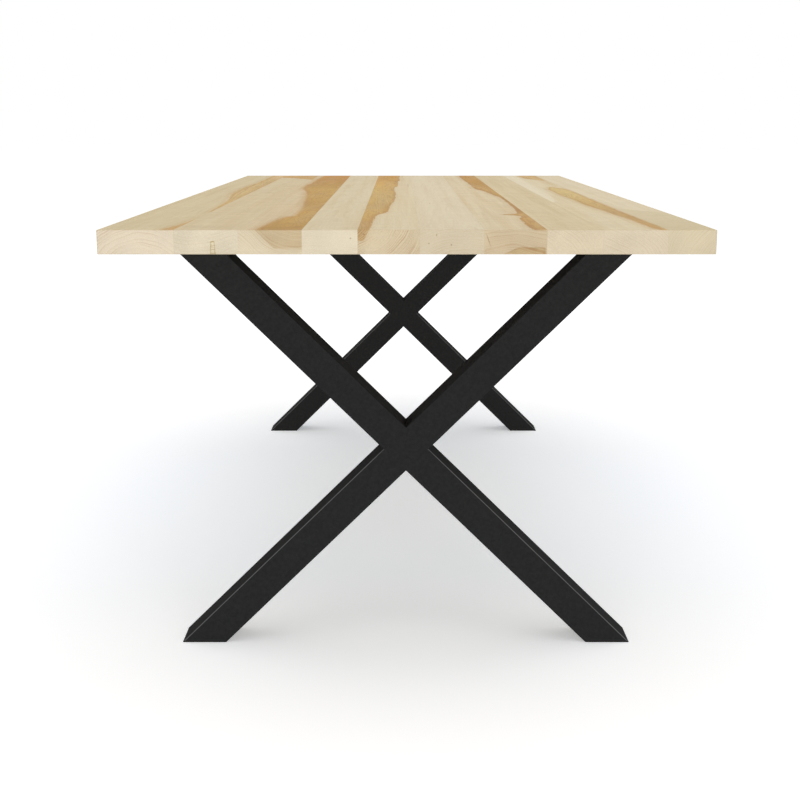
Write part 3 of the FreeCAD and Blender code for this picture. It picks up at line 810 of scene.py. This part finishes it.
def weld_bead(side, leg, bulge):
    """A rippled fillet along one side of the bar's head, where it meets the plate."""
    head = (PLATE_UNDERSIDE - LEG_HEIGHT / 2) * math.tan(LEAN)
    root = Vector((head + side * BAR_FACE / 2 / math.cos(LEAN), 0, PLATE_UNDERSIDE))
    away = Vector((side, 0, 0))
    bisector = (away - ALONG_BAR).normalized()
    half_angle = away.angle(bisector)
    half_width = leg * math.sin(half_angle)
    radius = (half_width ** 2 + bulge ** 2) / (2 * bulge)
    centre = root + (leg * math.cos(half_angle) + bulge - radius) * bisector
    bead = new_cylinder(72, radius, WELD_LENGTH, centre, turn=(math.pi / 2, 0, 0))

    # Subdivide it along its length, and draw in every second ring of vertices
    pick_edges(bead, lambda start, end: abs(start.y - end.y) > 0.9 * WELD_LENGTH)
    count = 2 * round(WELD_LENGTH / RIPPLE)
    bpy.ops.mesh.subdivide(number_cuts=count - 1)
    done_editing()
    step = WELD_LENGTH / count
    pick(bead, "VERT", lambda corner: round((corner.co.y + WELD_LENGTH / 2) / step) % 2 == 0)
    shrink = 1 - RIPPLE_DEPTH * bulge / radius
    bpy.ops.transform.resize(value=(shrink, 1, shrink), center_override=centre)
    done_editing()
    cut_off(bead, root, (0, 0, 1))
    cut_off(bead, root, -side * ACROSS_BAR)
    return bead


def plate_welds(coat):
    """Four beads for each plate, two at the head of each bar."""
    beads = [weld_bead(*weld) for weld in WELDS]
    for end in ENDS:
        shift = (0, FRAME_Y[end], 0)
        copies = [copy_of(bead, shift, mirrored=mirrored)
                  for bead in beads for mirrored in (False, True)]
        piece = joined(f"{end}_weld_beads", copies)
        finish_piece(piece, [f"{end}_plate_welds"], coat)
    for bead in beads:
        bpy.data.objects.remove(bead)


def flange_bolt():
    """A hex flange bolt, head down, with the plate's underside at z = 0."""
    flange = new_cylinder(48, FLANGE_RADIUS, FLANGE_THICK, (0, 0, -FLANGE_THICK / 2))
    pick_edges(flange, lambda start, end: max(start.z, end.z) < -0.9 * FLANGE_THICK)
    round_picked(FLANGE_ROUNDING, 3)

    middle = (0, 0, -HEAD_HEIGHT / 2)
    head = new_cylinder(6, HEAD_ACROSS / math.sqrt(3), HEAD_HEIGHT, middle)
    head_top = HEAD_FLAT + HEAD_HEIGHT / math.tan(HEAD_CHAMFER)
    bpy.ops.mesh.primitive_cone_add(vertices=72, radius1=HEAD_FLAT, radius2=head_top,
                                    depth=HEAD_HEIGHT, location=middle)
    combine(head, bpy.context.object, "INTERSECT")

    shank = new_cylinder(32, BOLT_RADIUS, BOLT_LENGTH, (0, 0, BOLT_LENGTH / 2))
    pick_edges(shank, lambda start, end: min(start.z, end.z) > 0.9 * BOLT_LENGTH)
    round_picked(TIP_CHAMFER, 1)
    return joined("flange_bolt", [flange, head, shank])


def plate_bolts(zinc):
    """Five bolts for each plate, each stopped at its own turn by the wrench."""
    bolt = flange_bolt()
    for end in ENDS:
        copies = []
        for number, (across, along) in enumerate(BOLT_PLACES):
            place = (across, FRAME_Y[end] + along, PLATE_UNDERSIDE)
            copies.append(copy_of(bolt, place, turn=WRENCH_TURN * number))
        piece = joined(f"{end}_hex_flange_bolts", copies)
        finish_piece(piece, [f"{end}_plate_bolts"], zinc)
    bpy.data.objects.remove(bolt)


# --- floor, light and camera -------------------------------------------------

# The floor, in metres. It glows for the eye alone, more and more from the table outwards, so that
# its weaker glow near the table is painted shade round it, on top of its real shadow.
FLOOR_SIZE = 80
FADE_MIDDLE = (0, 0.12, 0)
FADE_START, FADE_END = 0.6, 3.6    # distances from there
# The glow's tones: low and cool near the table, which paints shade there and offsets the warm
# light bounced from the wood
PAINTED_SHADE_GLOW = ((0, "#94999D"), (0.33, "#A9A49A"), (1, "#D5D4D2"))
ROOM_LIGHT = 0.42        # what the room puts on the table; the room itself shows white
WHITE = "#FFFFFF"

# The softboxes, each with its place, what it faces, its size and its watts
SOFTBOXES = {
    "front_softbox": ((0.7, -12.0, 1.0), (0, -0.9, 0.6), (11.0, 2.0), 925),
    "overhead_softbox": ((0, 0.1, 3.6), (0, 0.1, 0), (6.0, 6.0), 104),
}

# The camera: millimetres of lens and sensor, its place, and degrees below level
LENS, SENSOR_WIDTH = 60.817, 36.0
CAMERA_PLACE = (-0.0105, -3.1753, 0.9176)
CAMERA_DIP = 11.663


def softbox(name, place, target, size, power):
    """A rectangular lamp that lights the table but doesn't show."""
    lamp = bpy.data.lights.new(name, "AREA")
    lamp.shape = "RECTANGLE"
    lamp.size, lamp.size_y = size
    lamp.energy = power
    box = bpy.data.objects.new(name, lamp)
    bpy.context.scene.collection.objects.link(box)
    box.location = place
    box.visible_camera = False
    box.rotation_euler = (Vector(target) - box.location).to_track_quat("-Z", "Y").to_euler()


def seen_itself(add):
    """1 for the rays that show the floor or the room itself, and 0 for its light."""
    rays = add("LightPath").outputs
    seen = add("Math", rays["Is Camera Ray"], rays["Is Glossy Ray"], operation="MAXIMUM")
    return add("Math", seen, rays["Is Transmission Ray"], operation="MAXIMUM")


def floor_paint():
    """Matt white floor paint, which fades into the white room and hides from below."""
    made, add = new_material("matt_white_floor_paint")
    place = add("TexCoord").outputs["Object"]
    out = add("VectorMath", place, FADE_MIDDLE, operation="DISTANCE")
    # Painted shade: the glow is weaker and cooler near the table
    glow_painting_shade = add("ValToRGB", add("MapRange", out, FADE_START, FADE_END), stops=[
        (share, linear(code)) for share, code in PAINTED_SHADE_GLOW])
    shader = add("BsdfPrincipled", {"Base Color": linear("#F3F5FB"), "Roughness": 0.9,
                 "Specular IOR Level": 0, "Emission Color": glow_painting_shade,
                 "Emission Strength": seen_itself(add)})
    behind = add("NewGeometry").outputs["Backfacing"]
    from_below = add("Math", behind, add("LightPath").outputs["Is Camera Ray"],
                     operation="MULTIPLY")
    surface = add("MixShader", from_below, shader, add("BsdfTransparent"))
    add("OutputMaterial", {"Surface": surface})
    return made


def studio():
    """A pale floor that fades to white, a white room and two softboxes."""
    bpy.ops.mesh.primitive_plane_add(size=FLOOR_SIZE, location=(0, 0, 0))
    floor = bpy.context.object
    floor.name = "studio_floor"
    paint(floor, floor_paint())

    world = bpy.data.worlds.new("even_white_room")
    bpy.context.scene.world = world
    world.use_nodes = True
    world.node_tree.nodes.clear()
    add = partial(node, world.node_tree)
    light = add("Background", {"Color": linear(WHITE), "Strength": ROOM_LIGHT})
    shown = add("Background", {"Color": linear(WHITE), "Strength": 1})
    add("OutputWorld", {"Surface": add("MixShader", seen_itself(add), light, shown)})

    for name, (place, target, size, power) in SOFTBOXES.items():
        softbox(name, place, target, size, power)


def camera():
    """The view along the table, from just above the height of its top."""
    lens = bpy.data.cameras.new("view")
    lens.sensor_width = SENSOR_WIDTH
    lens.lens = LENS
    view = bpy.data.objects.new("view", lens)
    bpy.context.scene.collection.objects.link(view)
    view.location = CAMERA_PLACE
    view.rotation_euler = (math.radians(90 - CAMERA_DIP), 0, 0)
    bpy.context.scene.camera = view


camera()
studio()
for number, board in BOARDS.items():
    paint(NODES[f"tabletop_board_{number:02d}"], maple(number, board))
coat = powder_coat()
rubber = pad_rubber()
for end in ENDS:
    x_frame(end, coat)
plate_welds(coat)
plate_bolts(zinc_plate())
for name, finish in (("mounting_plate", coat), ("left_foot_pad", rubber),
                     ("right_foot_pad", rubber), ("threaded_inserts", turned_brass())):
    for end in ENDS:
        paint(NODES[f"{end}_{name}"], finish)

bpy.context.scene.view_settings.view_transform = "Standard"
